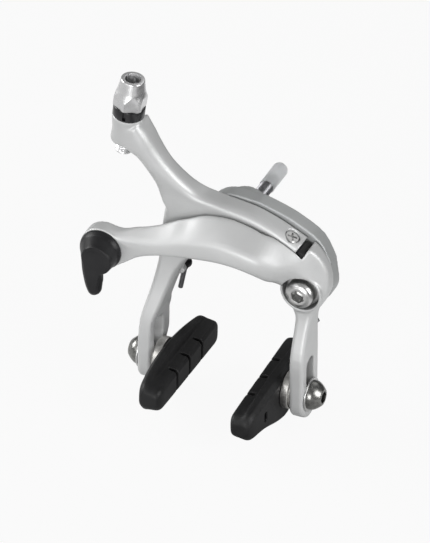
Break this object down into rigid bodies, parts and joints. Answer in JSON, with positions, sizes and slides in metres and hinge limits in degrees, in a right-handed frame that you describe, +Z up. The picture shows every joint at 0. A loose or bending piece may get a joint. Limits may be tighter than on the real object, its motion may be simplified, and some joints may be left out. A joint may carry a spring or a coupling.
{
  "type": "dual-pivot caliper brake",
  "caption": "Dual-pivot side-pull caliper rim brake with curved forged arms, a barrel adjuster, a quick-release lever and long grooved shoes.",
  "frame": {"origin": "on the centre bolt's axis, at the rear face of the hub that seats against the fork or frame", "axes": "+Z up, +Y from the hub into the fork along the bolt, +X to the right seen from the front of the brake"},
  "size_m": [0.0875, 0.0745, 0.1277],
  "materials": {
    "arm_paint": "satin silver paint on forged aluminium",
    "bracket_paint": "satin grey-silver paint on forged aluminium",
    "bright_steel": "plated steel",
    "dark_steel": "dark plated steel",
    "black_steel": "black plated steel, glossy",
    "bronze": "plain bearing bronze",
    "black_plastic": "satin black moulded plastic",
    "polished_metal": "bright polished plating",
    "shoe_rubber": "smooth moulded brake rubber",
    "clear_cap": "soft milky clear plastic"
  },
  "bodies": {
    "bracket": {"bracket": "bracket_paint", "centre_bolt": "dark_steel", "centre_nut": "bright_steel", "front_washer": "bright_steel", "centre_thrust_washer": "dark_steel", "side_bolt": "bright_steel", "side_washer": "bright_steel", "side_thrust_washer": "dark_steel", "return_spring": "dark_steel", "spring_holder": "black_plastic"},
    "y_arm": {"y_arm": "arm_paint", "y_arm_bush": "bronze", "y_arm_slider": "black_plastic"},
    "c_arm": {"c_arm": "arm_paint", "c_arm_bush": "bronze", "c_arm_slider": "black_plastic", "tail_buffer": "black_plastic"},
    "centring_screw": {"centring_screw": "bright_steel"},
    "adjuster_ring": {"adjuster_ring": "black_plastic"},
    "adjuster_barrel": {"adjuster_barrel": "polished_metal"},
    "release_lever": {"release_lever": "black_plastic", "release_cam": "dark_steel"},
    "cable_clamp": {"clamp_stud": "dark_steel", "clamp_plate": "bright_steel", "clamp_washer": "bright_steel", "clamp_nut": "dark_steel"},
    "left_shoe": {"left_shoe": "shoe_rubber", "left_insert": "bright_steel", "left_shoe_bolt": "black_steel", "left_outer_washer": "bright_steel", "left_dome_washer": "bright_steel", "left_cup_washer": "bright_steel"},
    "right_shoe": {"right_shoe": "shoe_rubber", "right_insert": "bright_steel", "right_shoe_bolt": "black_steel", "right_outer_washer": "bright_steel", "right_dome_washer": "bright_steel", "right_cup_washer": "bright_steel"},
    "bolt_cap": {"bolt_cap": "clear_cap"}
  },
  "joints": [
    {"name": "y_arm_pivot", "type": "hinge", "parent": "bracket", "child": "y_arm", "pos_m": [0, -0.0205, 0], "axis": [0, -1, 0], "range_deg": [0, 8], "stiffness_Nm_per_rad": 1.5, "springref_deg": -20.05, "deforming": ["return_spring"]},
    {"name": "c_arm_pivot", "type": "hinge", "parent": "bracket", "child": "c_arm", "pos_m": [0.028, -0.0205, -0.015], "axis": [0, 1, 0], "range_deg": [0, 10.9], "stiffness_Nm_per_rad": 1, "springref_deg": -25.78, "deforming": ["return_spring"]},
    {"name": "left_shoe_height", "type": "slide", "parent": "y_arm", "child": "left_shoe", "axis": [0, 0, 1], "range_m": [0, 0.0125]},
    {"name": "right_shoe_height", "type": "slide", "parent": "c_arm", "child": "right_shoe", "axis": [0, 0, 1], "range_m": [0, 0.0125]},
    {"name": "centring_screw_turn", "type": "hinge", "parent": "y_arm", "child": "centring_screw", "pos_m": [0.02184, -0.0166, 0.00234], "axis": [0.454, 0, 0.891], "range_deg": [-360, 360]},
    {"name": "adjuster_lift", "type": "slide", "parent": "y_arm", "child": "adjuster_ring", "axis": [0.1167, 0, 0.9932], "range_m": [0, 0.004]},
    {"name": "adjuster_turn", "type": "hinge", "parent": "adjuster_ring", "child": "adjuster_barrel", "pos_m": [-0.0361, -0.0225, 0.0424], "axis": [0.1167, 0, 0.9932], "range_deg": [0, 1440]},
    {"name": "release_lever_turn", "type": "hinge", "parent": "c_arm", "child": "release_lever", "pos_m": [-0.0424, -0.0315, -0.01], "axis": [0, 1, 0], "range_deg": [0, 90]},
    {"name": "cable_clamp_turn", "type": "hinge", "parent": "release_lever", "child": "cable_clamp", "pos_m": [-0.04353, -0.0315, -0.01113], "axis": [0, 1, 0], "range_deg": [-90, 0]},
    {"name": "bolt_cap_slide", "type": "slide", "parent": "bracket", "child": "bolt_cap", "axis": [0, 1, 0], "range_m": [0, 0.06]}
  ],
  "couplings": [
    {"joint": "c_arm_pivot", "follows": "y_arm_pivot", "ratio": 1.36},
    {"joint": "cable_clamp_turn", "follows": "release_lever_turn", "ratio": -1},
    {"joint": "adjuster_lift", "follows": "adjuster_turn", "m_per_rad": 0.00015915}
  ]
}
